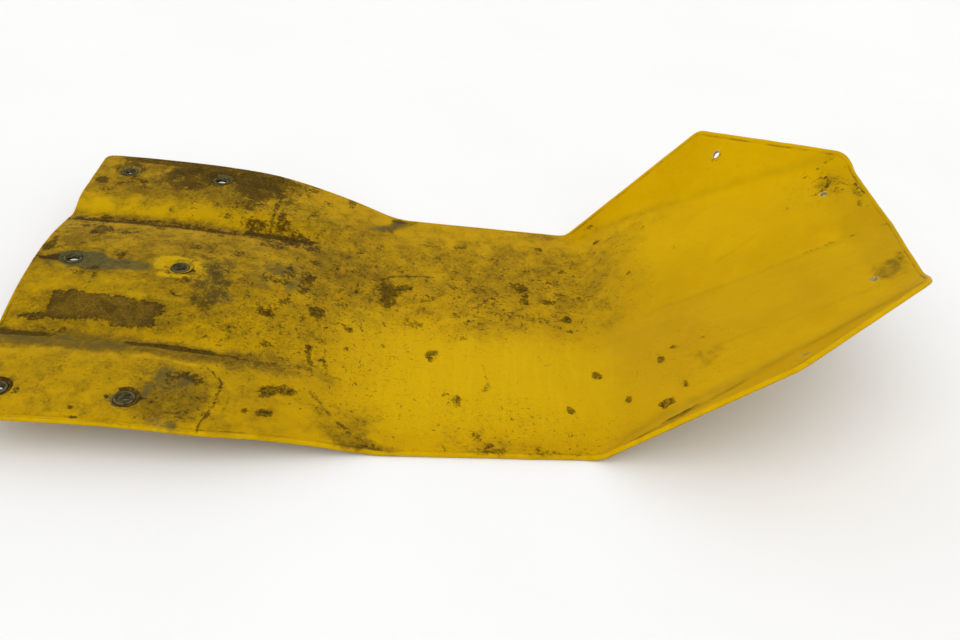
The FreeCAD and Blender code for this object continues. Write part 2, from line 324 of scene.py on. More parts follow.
# ---- marks on the yellow surface: where wear and dirt lie, with painted shadows and highlights along the strips' ends ----
# Each patch: along, across, half length, half width and its strength, in hundredths; then the
# squareness of its corners where that isn't 2, and its turn in degrees where it is turned.
SQUARENESS_AND_TURN = [2, 0]
PATCHES = {"wash": [
    (130, 0, 185, 245, 62, 4), (300, 60, 60, 190, 36, 3), (60, 30, 120, 90, 30, 3),
    (440, 120, 130, 100, 34, 3), (820, 0, 24, 110, 42, 3), (710, -50, 90, 60, 22), (610, 0, 40, 110, 16),
    (560, 20, 46, 150, 35, 3), (340, -185, 40, 40, 30), (515, 60, 90, 90, 44, 3), (590, 70, 36, 80, 32),
], "film": [
    (40, 150, 60, 26, 35), (100, 190, 130, 60, 75, 3), (90, 98, 125, 14, 75, 4), (80, 40, 110, 44, 50, 3),
    (60, 62, 60, 22, 35, 3), (80, -12, 110, 30, 55, 3), (180, 0, 60, 90, 44, 3), (240, 30, 70, 80, 20),
    (250, 110, 60, 60, 32), (240, -60, 70, 60, 28), (60, -122, 75, 20, 100, 4), (180, -124, 70, 14, 85, 3),
    (250, -122, 60, 16, 60), (178, -186, 32, 42, 80, 3), (90, -75, 70, 26, 60, 3),
    (40, -80, 50, 26, 50, 3), (230, -190, 40, 40, 30), (300, 90, 60, 110, 42), (300, 40, 50, 60, 45),
    (400, 90, 90, 110, 36, 3), (510, 48, 70, 60, 35, 3), (530, 110, 70, 60, 24), (470, 120, 110, 70, 38),
    (350, -205, 26, 12, 80), (480, -192, 60, 14, 38), (425, -175, 22, 20, 26), (322, -182, 30, 30, 48),
    (590, 60, 20, 40, 12), (20, 20, 30, 40, 40), (160, -60, 50, 40, 40), (806, 95, 14, 20, 50),
    (812, -75, 14, 14, 58), (600, 150, 60, 30, 20), (350, 185, 32, 9, 75, 2, 42), (520, 185, 22, 12, 60),
    (625, -190, 50, 7, 50, 2, 16), (655, -112, 14, 12, 35), (40, -190, 30, 30, 35),
    (80, -188, 110, 46, 24, 3), (140, -215, 50, 12, 35),
], "grime": [
    (150, 212, 66, 22, 74, 3), (190, 200, 28, 34, 72, 3), (105, 190, 34, 36, 66), (185, 165, 20, 24, 62),
    (22, -113, 34, 6, 95, 3), (75, 228, 60, 9, 85, 4), (40, 205, 22, 15, 62), (14, 172, 10, 8, 80),
    (225, 190, 16, 26, 50), (205, 215, 26, 16, 80), (138, 196, 16, 14, 90), (222, 100, 26, 7, 120, 3),
    (163, -118, 40, 5, 125, 4), (178, -20, 18, 42, 52), (160, 30, 14, 30, 35), (8, 25, 6, 18, 70),
    (5, 60, 5, 12, 50), (45, -190, 6, 8, 40), (350, 196, 10, 5, 80), (825, -60, 4, 8, 45),
    (822, 60, 3, 26, 38), (560, 60, 14, 10, 30), (470, 20, 16, 10, 35), (510, 15, 22, 12, 36),
    (455, 35, 8, 6, 40),
], "spots": [
    (280, -30, 9, 10, 95, 2, 20), (234, -47, 10, 7, 90, 2, -20), (266, 12, 7, 20, 70, 2, -15),
    (246, 24, 7, 16, 60, 2, 10), (236, 8, 14, 8, 60), (262, 30, 10, 8, 60), (352, 52, 17, 12, 72),
    (350, 30, 10, 18, 66, 2, -10), (366, 58, 10, 6, 70), (342, 40, 6, 22, 55),
    (490, 72, 11, 9, 85, 2, -30), (495, 50, 6, 12, 70), (541, 15, 6, 6, 110), (520, 45, 8, 6, 75),
    (542, -6, 4, 3, 90), (516, 158, 7, 6, 80), (540, 110, 7, 4, 70), (401, -60, 8, 9, 75),
    (562, -79, 5, 6, 100), (533, -132, 5, 7, 90), (613, -160, 5.2, 6, 120), (630, -78, 5, 3, 80),
    (617, -90, 3, 6, 90), (630, -140, 3, 7, 70), (585, -130, 3, 5, 80), (243, -194, 3, 4, 100),
    (258, -190, 7, 5, 90, 2, 20), (265, -158, 17, 7, 88, 2, 12), (254, -162, 7, 9, 70),
    (283, -95, 4, 18, 75, 2, 14), (300, -105, 3, 22, 50, 2, 10), (240, -92, 8, 5, 60, 2, 20),
    (186, -160, 12, 6, 50), (175, -166, 8, 9, 55), (190, -215, 9, 12, 35), (195, -166, 6, 5, 60),
    (165, -205, 4, 14, 35), (350, -206, 12, 8, 70), (455, -196, 14, 8, 60), (505, -192, 12, 7, 55),
    (424, -128, 4, 9, 60), (440, -176, 5, 10, 45, 2, 20), (430, -30, 5, 5, 60), (315, -40, 5, 6, 70),
    (420, 65, 8, 6, 55), (390, 40, 12, 8, 40), (378, -8, 10, 9, 40), (575, 186, 6, 3, 70),
    (583, 158, 3, 3, 80), (655, 90, 3, 4, 50),
], "brown": [
    (707, 185, 5, 4, 50), (45, 64, 13, 15, 62), (228, 100, 40, 22, 56), (95, 91, 100, 4, 75, 4),
    (60, 99, 60, 7, 35, 4), (222, 128, 6, 24, 60), (195, 118, 12, 10, 60), (180, 125, 4, 16, 45),
    (14, -4, 9, 3.5, 110, 2, -4), (22, -3, 5, 6, 90), (222, 75, 16, 6, 60), (262, 92, 10, 14, 50),
    (802, 90, 8, 3, 60, 2, 40), (806, 102, 3, 8, 55, 2, 20), (810, 80, 6, 8, 40), (826, 70, 3, 34, 30),
    (22, -3, 7, 5, 110), (158, -197, 4, 2.5, 80), (127, -200, 2.5, 4, 70), (54, -202, 4, 5, 60),
    (134, 205, 9, 9, 90), (28, 200, 5, 9, 60), (108, -228, 6, 2.5, 60), (102, -217, 3, 3, 70),
    (133, -12, 5, 5, 50), (155, -4, 5, 4, 70), (220, 150, 10, 20, 35), (255, 120, 16, 16, 35),
    (20, 78, 16, 10, 45),
], "residue": [
    (62, -72, 24, 18, 115, 7), (98, -70, 26, 14, 105, 6), (118, -78, 20, 14, 110, 6),
    (134, -68, 10, 9, 70, 3), (28, -90, 14, 6, 70, 2, 10), (58, -104, 10, 6, 50),
], "grey": [
    (45, -3, 27, 17, 130), (80, -6, 34, 11, 85), (40, 205, 16, 11, 60), (146, 202, 15, 12, 70),
    (142, -198, 15, 12, 70), (37, -198, 12, 10, 80), (175, -10, 18, 34, 50), (190, -40, 16, 12, 40),
    (70, -124, 70, 12, 34, 4), (172, -168, 22, 18, 48), (180, -226, 12, 9, 62),
    (160, -176, 4, 24, 60, 2, -12), (340, 180, 30, 7, 60, 2, 45), (142, -2, 9, 7, 70),
    (240, 20, 30, 30, 35), (812, -76, 9, 12, 20), (350, 190, 12, 8, 60), (90, 205, 20, 20, 30),
], "bright": [
    (136, 10, 22, 10, 110), (124, 2, 12, 14, 100), (140, -17, 22, 6, 100), (160, 4, 6, 14, 80),
    (20, 20, 14, 10, 50, 2, 50), (90, -32, 50, 10, 50), (90, 128, 100, 16, 50, 3), (120, -50, 40, 5, 50),
    (450, -90, 130, 80, 75, 3), (330, -70, 20, 100, 50, 3), (400, -150, 90, 30, 50, 3),
    (560, -110, 60, 90, 35), (720, 120, 110, 90, 50, 3), (740, -30, 90, 90, 28, 3),
    (145, -186, 40, 14, 25), (20, 130, 30, 14, 40), (60, 186, 8, 6, 60), (100, -170, 50, 10, 20),
], "streak": [
    (440, -95, 110, 62, 100, 3), (520, -90, 60, 60, 80),
], "speckle": [
    (495, 62, 90, 95, 72, 3), (400, 60, 90, 110, 58, 3), (280, 60, 90, 110, 64, 3),
    (300, -40, 90, 80, 60, 3), (240, -60, 70, 110, 60, 3), (320, -150, 40, 60, 50, 3),
    (430, -160, 90, 50, 45, 3), (520, -170, 70, 40, 45, 3), (80, 40, 110, 60, 50, 3),
    (180, 180, 110, 70, 75, 3), (90, -80, 110, 50, 55, 3), (180, -190, 50, 60, 60, 3),
    (590, 130, 50, 50, 50), (585, 50, 50, 70, 46), (640, -100, 50, 60, 34), (800, 90, 40, 50, 35),
    (380, -110, 60, 50, 30, 3), (480, -100, 110, 70, 25, 3), (70, -190, 100, 50, 42, 3),
    (800, -90, 40, 50, 20),
]}
# Each line: its half width and its strength, in hundredths; then along and across of each point.
LINES = {"wash": [
    (5, 55, 570, 180, 650, 166, 740, 147, 818, 126), (4, 42, 620, -4, 720, -2, 834, 1),
    (3, 30, 600, -60, 700, -52, 820, -46), (3.5, 34, 640, -100, 730, -98, 822, -92),
    (3, 30, 610, -30, 690, -34, 800, -28), (7, 55, 575, -178, 650, -168, 740, -150, 815, -128),
    (2, 35, 690, 40, 710, 46, 730, 58),
], "grime": [
    # Painted shadow with dirt: the first line here and both lines two rows down run along the strips'
    # stepped ends.
    (1.4, 85, 196, -143, 206, -150, 216, -163, 215, -190, 210, -216, 209, -234),
    (2, 150, 122, -116, 140, -117, 165, -118.5, 203, -118), (4.4, 190, 192, 102, 222, 99.5, 250, 100),
    (2, 75, 214, 196, 214, 175, 212, 140, 213, 112), (1.6, 50, 173, 20, 173, -20, 175, -52),
    (1.8, 75, 338, 66, 352, 76, 372, 82, 396, 83), (1.6, 60, 338, 66, 330, 52, 334, 40),
    (4, 60, 203, -118, 240, -122, 285, -120), (2.4, 70, 574, -199, 604, -189, 636, -180),
    (0.9, 50, 762, 3, 800, 3, 833, 1), (2.2, 60, 372, 148, 398, 147, 430, 149),
    (3, 70, 292, -150, 314, -174, 340, -194), (1.6, 50, 288, -122, 296, -100, 302, -84),
    (1.4, 50, 450, -70, 455, -98, 452, -112), (1.6, 50, 505, -50, 512, -66, 520, -62),
    (1.6, 50, 505, 72, 520, 68, 548, 62), (1.6, 40, 340, 175, 350, 160, 352, 140),
    (2.2, 80, 160, 168, 186, 164, 203, 168),
], "brown": [
    (1, 60, 792, 84, 800, 92, 812, 101), (0.8, 45, 794, 96, 806, 88, 818, 84),
    (1, 60, 778, 118, 796, 122, 818, 124), (1, 60, 818, 100, 825, 84, 829, 58),
    (1, 42, 806, 110, 812, 100, 822, 78), (1.2, 70, 786, 104, 798, 110, 806, 106),
    (1.5, 70, 205, 120, 212, 138, 216, 160), (1.3, 60, 186, 112, 194, 128, 198, 146),
], "bright": [
    (3, 50, 5, 138, 90, 137, 190, 136), (3, 60, 0, -138, 80, -141, 190, -143),
    # Painted highlight along the near strip's stepped end.
    (3, 40, 203, -160, 206, -190, 204, -225),
]}
HATCH = (6.0, 208.0, 89.0, 100.0)      # the bristly stain along the far valley: its four sides
MARK_KINDS = ["wash", "film", "grime", "spots", "brown", "residue", "grey", "bright", "speckle",
              "streak"]
SOFT_KINDS = ["film", "speckle", "bright", "streak"]
EDGE, SOFT_EDGE = 0.35, 0.55           # width of a patch's soft edge, as a share of its size
OVERLAP = 0.25                         # how much the weaker of two patches adds to the stronger
WARP_SIZE, PATCH_WARP, LINE_WARP = 16.0, 34.0, 6.0


def patch_marks(plan, warp, patches, soft):
    """The patches of one kind, each with a soft and wandering edge."""
    value = np.zeros(len(plan))
    for along, across, half_length, half_width, strength, *rest in patches:
        square, turn = rest + SQUARENESS_AND_TURN[len(rest):]
        ragged = 5.0 + 0.5 * min(half_length, half_width)
        offset = plan + warp * min(ragged, PATCH_WARP) - np.array([along, across])
        a = math.radians(turn)
        u = np.abs(offset[:, 0] * math.cos(a) + offset[:, 1] * math.sin(a)) / half_length
        v = np.abs(-offset[:, 0] * math.sin(a) + offset[:, 1] * math.cos(a)) / half_width
        reach = (u ** square + v ** square) ** (1.0 / square)
        patch = strength / 100 * smooth_step(1.0 + soft - reach, 0.0, 2 * soft)
        value = np.maximum(value, patch) + OVERLAP * np.minimum(value, patch)
    return value


def blots(plan, size, seed, octaves, start, end):
    """Scattered blots: where a cloud rises past start, and wholly where it passes end."""
    return smooth_step(cloud(plan, size, seed, octaves), start, end)


def hatch_band(plan):
    """The bristly stain: a band whose upper side is combed into bristles."""
    start, end, low, high = HATCH
    comb = cloud(plan * np.array([1.0, 0.22]), 4.2, 44, 2)
    top = high + 22.0 * (comb - 0.45)
    band = smooth_step(plan[:, 1], low - 5, low + 3) * (1 - smooth_step(plan[:, 1], top - 3, top + 7))
    band = band * smooth_step(plan[:, 0], start - 6, start + 6)
    return band * (1 - smooth_step(plan[:, 0], end - 14, end + 6))


def marks(plan, kind):
    """How strongly one kind of mark shows at each place, from 0 to about 1."""
    warp = np.column_stack([cloud(plan, WARP_SIZE, seed, 4) for seed in (41, 42)]) - 0.5
    value = patch_marks(plan, warp, PATCHES.get(kind, []), SOFT_EDGE if kind in SOFT_KINDS else EDGE)
    for half_width, strength, *points in LINES.get(kind, []):
        off = to_path(plan + warp * LINE_WARP, np.reshape(points, (-1, 2)))
        line = strength / 100 * np.exp(-(off / half_width) ** 2)
        value = np.maximum(value, line * (0.5 + cloud(plan, 9.0, 43, 2)))
    if kind == "spots":
        crowd = marks(plan, "speckle")
        small = blots(plan, 15.0, 45, 4, 0.61, 0.74) * 0.40
        value = np.maximum(value, small * np.clip(crowd * 1.25 - 0.2, 0, 1))
        dots = blots(plan, 7.0, 46, 2, 0.76, 0.86) * 0.62
        value = np.maximum(value, dots * np.clip(crowd * 1.1 - 0.1, 0, 1))
    if kind == "brown":
        stains = blots(plan, 21.0, 47, 4, 0.62, 0.72) * 0.5
        value = np.maximum(value, stains * (plan[:, 0] < 300) * (plan[:, 1] > -60))
        value = np.maximum(value, 0.62 * hatch_band(plan))
    return value


# ---- meshes ----
def new_piece(name, points, faces, attributes, material, nodes):
    mesh = bpy.data.meshes.new(name)
    mesh.from_pydata((np.asarray(points) * MM).tolist(), [], faces)
    mesh.validate()
    for key, values in attributes.items():
        layer = mesh.attributes.new(key, "FLOAT", "POINT")
        layer.data.foreach_set("value", np.asarray(values, np.float32))
    mesh.polygons.foreach_set("use_smooth", [True] * len(mesh.polygons))
    mesh.materials.append(material)
    piece = bpy.data.objects.new(name, mesh)
    bpy.context.scene.collection.objects.link(piece)
    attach(piece, "root")
    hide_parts(*nodes)
    return piece


def filled(loops, hole_plans, spacing):
    """Plan points and triangles that fill the first loop around the others."""
    outer = loops[0]
    low, high = outer.min(axis=0), outer.max(axis=0)
    row_gap = spacing * math.sqrt(3) / 2
    rows = int((high[1] - low[1]) / row_gap) + 1
    columns = int((high[0] - low[0]) / spacing) + 1
    grid = np.array([(low[0] + (i + 0.5 * (j % 2)) * spacing, low[1] + j * row_gap)
                     for j in range(rows) for i in range(columns)])
    grid += (np.random.default_rng(5).random(grid.shape) - 0.5) * spacing * 0.2
    keep = depth_inside(grid, outer) > 0.6 * spacing
    for centre, radius in hole_plans:
        keep &= np.hypot(*(grid - centre).T) > radius + 0.6 * spacing
    plan = np.vstack(loops + [grid[keep]])
    edges = []
    first = 0
    for loop in loops:
        count = len(loop)
        edges += [(first + i, first + (i + 1) % count) for i in range(count)]
        first += count
    result = delaunay_2d_cdt([Vector(p) for p in plan], edges, [], 0, 1e-6)
    source = [origins[0] for origins in result[3]]
    triangles = np.array([[source[i] for i in face] for face in result[2]])
    a, b, c = (plan[triangles[:, k]] for k in range(3))
    cross = (b - a)[:, 0] * (c - a)[:, 1] - (b - a)[:, 1] * (c - a)[:, 0]
    triangles[cross < 0] = triangles[cross < 0][:, ::-1]
    keep = np.abs(cross) > 1e-6
    middle = (a + b + c) / 3
    ring_only = (triangles < first).all(axis=1)
    keep[ring_only] &= depth_inside(middle[ring_only], outer) > 0
    for centre, radius in hole_plans:
        keep &= np.hypot(*(middle - centre).T) > radius * 0.995
    return plan, triangles[keep]


def make_sheet(name, line, rim, holes, proud, spacing, under_spacing, under_depth,
               material, nodes):
    """A moulded sheet with a worked rim and worked holes, as one closed mesh."""
    loops = [(line, left_normals(line), rim)]
    for centre, radius, profile in holes:
        count = max(20, int(2 * math.pi * radius / 1.3))
        turn = -np.arange(count) * 2 * math.pi / count
        around = np.column_stack([np.cos(turn), np.sin(turn)])
        loops.append((np.array(centre) + around * radius, around, profile))
    plans, depths, tops, faces = [], [], [], []
    total = 0
    top_rings, under_rings = [], []
    for base, normals, profile in loops:
        count = len(base)
        top_rings.append(np.arange(total, total + count))
        for k, (inset, depth, top) in enumerate(profile):
            plans.append(base + normals * inset)
            depths.append(np.full(count, depth))
            tops.append(np.full(count, top))
            if k:
                upper, lower = total - count, total
                faces += [(upper + i, lower + i, lower + (i + 1) % count, upper + (i + 1) % count)
                          for i in range(count)]
            total += count
        under_rings.append(np.arange(total - count, total))
    ring_plan = np.vstack(plans)
    for rings, gap, is_top in ((top_rings, spacing, 1.0), (under_rings, under_spacing, 0.0)):
        ring_loops = [ring_plan[ring] for ring in rings]
        hole_plans = [(np.array(centre), np.hypot(*(loop[0] - centre)))
                      for (centre, _, _), loop in zip(holes, ring_loops[1:])]
        plan, triangles = filled(ring_loops, hole_plans, gap)
        on_rings = np.concatenate(rings)
        extra = len(plan) - len(on_rings)
        index = np.concatenate([on_rings, np.arange(total, total + extra)])
        triangles = index[triangles]
        if not is_top:
            triangles = triangles[:, ::-1]
        faces += [tuple(int(i) for i in t) for t in triangles]
        inner = plan[len(on_rings):]
        plans.append(inner)
        depths.append(np.zeros(extra) if is_top else under_depth(inner))
        tops.append(np.full(extra, is_top))
        total += extra
    plan, depth, top = np.vstack(plans), np.concatenate(depths), np.concatenate(tops)
    edge = depth_inside(plan, BOARD_LINE)
    drop = depth + top * relief(plan, edge) - proud(plan)
    points = surface(plan) - surface_normals(plan) * drop[:, None]
    attributes = {kind: marks(plan, kind) * np.clip(top, 0.25, 1) for kind in MARK_KINDS}
    attributes["under"] = 1 - top
    from_cord_hole = np.min([np.hypot(*(plan - centre).T) for centre in CORD_HOLES], axis=0)
    attributes["raw"] = 1 - smooth_step(from_cord_hole, *RAW_RING)
    attributes["edge"] = edge
    return new_piece(name, points, faces, attributes, material, nodes)


# ---- materials ----
class Value:
    """A shader value. It adds, subtracts and multiplies like a number, by way of math nodes."""

    def __init__(self, nodes, socket):
        self.nodes = nodes
        self.socket = socket

    def __add__(self, other):
        return self.nodes.math("ADD", self, other)

    def __sub__(self, other):
        return self.nodes.math("SUBTRACT", self, other)

    def __rsub__(self, other):
        return self.nodes.math("SUBTRACT", other, self)

    def __mul__(self, other):
        return self.nodes.math("MULTIPLY", self, other)

    def ramp(self, low, high, start=0.0, end=1.0):
        """A smooth change from start to end while the value goes from low to high."""
        limits = {"From Min": low, "From Max": high, "To Min": start, "To Max": end}
        return self.nodes.add("MapRange", {"Value": self, **limits}, "Result",
                              interpolation_type="SMOOTHSTEP")


class Nodes:
    """A short way to write a node tree."""

    def __init__(self, name):
        self.material = bpy.data.materials.new(name)
        self.material.use_nodes = True
        self.tree = self.material.node_tree
        self.shader = self.tree.nodes["Principled BSDF"]
        self.place = self.add("TexCoord", {}, "Object")

    def put(self, socket, value):
        if isinstance(value, Value):
            self.tree.links.new(value.socket, socket)
        else:
            socket.default_value = value

    def add(self, kind, inputs, output, **settings):
        """A new node with these settings and inputs, as the value of one of its outputs."""
        node = self.tree.nodes.new("ShaderNode" + kind)
        for key, value in settings.items():
            setattr(node, key, value)
        for key, value in inputs.items():
            self.put(node.inputs[key], value)
        return Value(self, node.outputs[output])

    def mark(self, name):
        return self.add("Attribute", {}, "Fac", attribute_name=name)

    def stretched(self, scale, turn=0.0):
        turned = (0, 0, math.radians(turn))
        return self.add("Mapping", {"Vector": self.place, "Scale": scale, "Rotation": turned}, "Vector")

    def warped(self, scale, amount):
        """The place, scaled, and pushed about by a coarse noise so that lines wander."""
        push = self.add("TexNoise", {"Vector": self.place, "Scale": 60.0, "Detail": 4.0}, "Color")
        moved = self.add("VectorMath", {0: push, 1: (amount,) * 3, 2: self.place}, 0,
                         operation="MULTIPLY_ADD")
        return self.add("VectorMath", {0: moved, "Scale": scale}, 0, operation="SCALE")

    def noise(self, scale, detail=4.0, roughness=0.5, distortion=0.0, vector=None):
        return self.add("TexNoise", {"Vector": vector or self.place, "Scale": scale, "Detail": detail,
                                     "Roughness": roughness, "Distortion": distortion}, "Fac")

    def cell_walls(self, scale, vector):
        """Distance from the nearest wall between irregular cells."""
        return self.add("TexVoronoi", {"Vector": vector, "Scale": scale}, "Distance",
                        feature="DISTANCE_TO_EDGE")

    def math(self, operation, a, b, clamp=False):
        return self.add("Math", {0: a, 1: b}, 0, operation=operation, use_clamp=clamp)

    def mix(self, factor, a, b):
        a, b = (side if isinstance(side, Value) else (*side, 1.0) for side in (a, b))
        return self.add("Mix", {0: factor, 6: a, 7: b}, 2, data_type="RGBA")

    def broken(self, mask, texture, gain, soft):
        """A mask whose edge is broken up by a texture."""
        moved = mask + (texture - 0.5) * gain
        return moved.ramp(0.5 - soft, 0.5 + soft) * mask.ramp(0.02, 0.12)

    def bump(self, height, distance, normal=None):
        """A normal that follows a height, on top of an earlier normal; distance is in metres."""
        under = {"Normal": normal} if normal else {}
        return self.add("Bump", {"Strength": 1.0, "Distance": distance, "Height": height, **under},
                        "Normal")

    def finish(self, colour, roughness, normal, metallic=0.0, sheen=None):
        main = {"Base Color": colour, "Roughness": roughness, "Metallic": metallic, "Normal": normal}
        for name, value in {**main, **(sheen or {})}.items():
            self.put(self.shader.inputs[name], value)
        return self.material


CLEAN = (0.585, 0.337, 0.0006)
DEEP = (0.485, 0.268, 0.0006)
PALE = (0.64, 0.395, 0.0015)
WASH = (0.325, 0.197, 0.003)
FILM = (0.202, 0.12, 0.007)
FILM_DARK = (0.104, 0.062, 0.006)
GRIME = (0.03, 0.016, 0.0025)
GRIME_LIGHT = (0.094, 0.057, 0.008)
BROWN = (0.062, 0.027, 0.002)
RESIDUE = (0.165, 0.098, 0.01)
RESIDUE_DARK = (0.09, 0.053, 0.008)
GREY = (0.06, 0.055, 0.021)
GREY_LIGHT = (0.115, 0.1, 0.033)
LAMINATE = (0.42, 0.27, 0.03)
LAMINATE_DARK = (0.3, 0.185, 0.02)
RAW_GLASS = (0.5, 0.42, 0.17)
RAW_GLASS_DARK = (0.3, 0.22, 0.07)
METAL = (0.082, 0.07, 0.027)
METAL_DARK = (0.03, 0.026, 0.01)
METAL_BARE = (0.165, 0.14, 0.062)
BORE = (0.026, 0.011, 0.002)
BORE_DARK = (0.008, 0.004, 0.001)
BRIM = (0.42, 0.262, 0.003)
STEEL = (0.42, 0.42, 0.4)
STEEL_DARK = (0.3, 0.29, 0.26)
RUST = (0.16, 0.065, 0.02)
DULL_METAL = {"Specular IOR Level": 0.1, "IOR": 1.25}
DULL_YELLOW = {**DULL_METAL, "Specular Tint": (1.0, 0.76, 0.03, 1.0)}
RING_MARKS = ("worn", "sunk", "coat", "dark", "grey")


def gel_coat(name, wide_scale, groove_shade_strength):
    """Yellow gel coat, with its stains laid over each other and bare laminate underneath."""
    n = Nodes(name)
    wide = n.noise(wide_scale, 5.0, 0.55)
    mottled = n.noise(52.0, 9.0, 0.62, 0.4)
    patchy = n.noise(120.0, 10.0, 0.68, 0.6)
    fine = n.noise(330.0, 8.0, 0.7)
    grain = n.noise(900.0, 5.0, 0.65)
    ragged = patchy * 0.5 + fine * 0.5
    layered = mottled * 0.55 + ragged * 0.45

    # The yellow itself, dulled by washes, and paler where the bright mark lies: where it is clean, and in
    # a painted highlight along the near strip's end.
    colour = n.mix(wide.ramp(0.4, 0.66, 0.0, 0.55), CLEAN, DEEP)
    colour = n.mix(fine.ramp(0.5, 0.72, 0.0, 0.22), colour, DEEP)
    wash = n.mark("wash")
    dull = n.math("MULTIPLY", wash, layered.ramp(0.36, 0.6, 0.45, 1.05), clamp=True)
    colour = n.mix(dull, colour, WASH)
    bright = n.mark("bright")
    colour = n.mix(n.broken(bright, layered, 1.2, 0.45) * 0.8, colour, PALE)

    # A thin brown film, rubbed off the bright places.
    film_shown = n.broken(n.mark("film"), layered, 2.4, 0.46)
    film_shown = film_shown * bright.ramp(0.6, 1.0, 1.0, 0.25)
    colour = n.mix(film_shown * 0.84, colour, n.mix(ragged.ramp(0.4, 0.6), FILM, FILM_DARK))

    # Specks, blots, branching veins and dust, all within the speckled areas.
    speckle = n.mark("speckle")
    level = 0.665 - speckle * 0.105
    specks = (fine - level).ramp(0.0, 0.03)
    blots_shown = (patchy - (level + 0.02)).ramp(0.0, 0.03)
    specks = n.math("MAXIMUM", specks, blots_shown * 0.9)
    veins = n.cell_walls(1.0, n.warped(150.0, 0.01)).ramp(0.0, 0.035, 1.0, 0.0)
    veins = veins * mottled.ramp(0.5, 0.62)
    specks = n.math("MAXIMUM", specks, veins * 0.6) * speckle.ramp(0.05, 0.4)
    dust = grain.ramp(0.5, 0.62) * speckle.ramp(0.1, 0.7, 0.0, 0.3)
    colour = n.mix(dust, colour, FILM_DARK)
    colour = n.mix(specks * 0.8, colour, n.mix(wide, GRIME, FILM_DARK))

    # The rectangle of residue, darker at its rim.
    residue = n.mark("residue")
    residue_shown = n.broken(residue, ragged, 3.2, 0.12)
    residue_tone = n.mix(layered.ramp(0.44, 0.54), RESIDUE, RESIDUE_DARK)
    residue_tone = n.mix(grain.ramp(0.44, 0.6, 0.0, 0.55), residue_tone, GRIME)
    residue_rim = residue.ramp(0.25, 0.5) * residue.ramp(0.5, 0.85, 1.0, 0.0)
    residue_tone = n.mix(residue_rim * 0.7, residue_tone, GRIME)
    colour = n.mix(residue_shown * patchy.ramp(0.53, 0.62, 0.96, 0.45), colour, residue_tone)

    # Grey stain, brown stain, grime and spots.
    grey_shown = n.broken(n.mark("grey"), layered, 3.0, 0.46)
    colour = n.mix(grey_shown * fine.ramp(0.44, 0.6, 0.95, 0.72), colour,
                   n.mix(ragged.ramp(0.42, 0.6), GREY, GREY_LIGHT))
    brown_shown = n.broken(n.mark("brown"), ragged, 3.0, 0.24)
    colour = n.mix(brown_shown * fine.ramp(0.44, 0.58, 0.97, 0.8), colour,
                   n.mix(fine.ramp(0.4, 0.62), BROWN, GRIME))
    grime_shown = n.broken(n.mark("grime"), layered * 0.5 + ragged * 0.5, 4.6, 0.32)
    colour = n.mix(grime_shown * fine.ramp(0.42, 0.6, 0.98, 0.66), colour,
                   n.mix(ragged.ramp(0.42, 0.6), GRIME, GRIME_LIGHT))
    spot = n.mark("spots")
    spot_level = spot + (ragged - 0.5) * 4.6
    spot_shown = spot_level.ramp(0.3, 0.72) * spot.ramp(0.02, 0.15)
    spot_tone = spot_level.ramp(0.7, 1.3) * mottled.ramp(0.4, 0.6)
    colour = n.mix(spot_shown * fine.ramp(0.43, 0.57, 0.97, 0.55), colour,
                   n.mix(spot_tone, GRIME, GRIME_LIGHT))

    # The groove beside the rim, painted darker as shade and dirt in the groove, and a painted highlight
    # along the rim.
    edge = n.mark("edge")
    # Painted shade with dirt: a dark line along the groove about 3 mm inside the rim.
    line = edge.ramp(2.5, 3.3) * edge.ramp(3.6, 4.8, 1.0, 0.0)
    line = line * n.noise(38.0, 6.0, 0.6).ramp(0.42, 0.62, 0.05, groove_shade_strength)
    colour = n.mix(line, colour, FILM_DARK)
    # Painted highlight: the outer 2.4 mm of the rim turned pale.
    rim = edge.ramp(0.5, 2.4, 1.0, 0.0) * mottled.ramp(0.35, 0.6, 0.75, 0.2)
    colour = n.mix(rim, colour, PALE)

    # Long scratches and wiped streaks.
    scratch = n.noise(1.0, 3.0, 0.55, 0.0, n.stretched((26.0, 900.0, 200.0), 11.0))
    cross = n.noise(1.0, 3.0, 0.55, 0.0, n.stretched((170.0, 12.0, 90.0), -5.0))
    smooth_part = wash.ramp(0.1, 0.6, 1.0, 0.15)
    scratches = scratch.ramp(0.6, 0.74) * smooth_part
    wiped = scratch.ramp(0.42, 0.34) * smooth_part
    streaks = cross.ramp(0.52, 0.62) * n.mark("streak")
    colour = n.mix(scratches * 0.26, colour, FILM)
    colour = n.mix(wiped * 0.22, colour, PALE)
    colour = n.mix(streaks * 0.45, colour, PALE)

    # The bare laminate of the underside, and the raw glass round the small holes.
    is_under = n.mark("under").ramp(0.75, 0.98)
    mat = n.cell_walls(2.4, n.stretched((150.0, 150.0, 150.0))).ramp(0.0, 0.22)
    under_colour = n.mix(n.noise(90.0, 8.0, 0.65).ramp(0.4, 0.62), LAMINATE, LAMINATE_DARK)
    under_colour = n.mix(mat.ramp(0.2, 0.9, 1.0, 0.0) * 0.35, under_colour, PALE)
    colour = n.mix(is_under, colour, under_colour)
    colour = n.mix(n.mark("raw") * 0.9, colour,
                   n.mix(fine.ramp(0.4, 0.6), RAW_GLASS, RAW_GLASS_DARK))

    dirt = n.math("MAXIMUM", n.math("MAXIMUM", grime_shown, spot_shown), film_shown * 0.6)
    roughness = fine.ramp(0.3, 0.7, 0.4, 0.5) + dirt * 0.26
    roughness = n.math("ADD", roughness, is_under * 0.22, clamp=True)
    crust = grime_shown * 0.6 + residue_shown * 0.8 + specks * 0.5
    normal = n.bump(wide, 0.0008)
    normal = n.bump(fine * 0.5 + grain * 0.25, 0.0003, normal)
    normal = n.bump(crust * fine, 0.00035, normal)
    normal = n.bump(scratches * -1.0, 0.00006, normal)
    normal = n.bump(mat * is_under, 0.0003, normal)
    return n.finish(colour, roughness, normal, sheen=DULL_YELLOW)


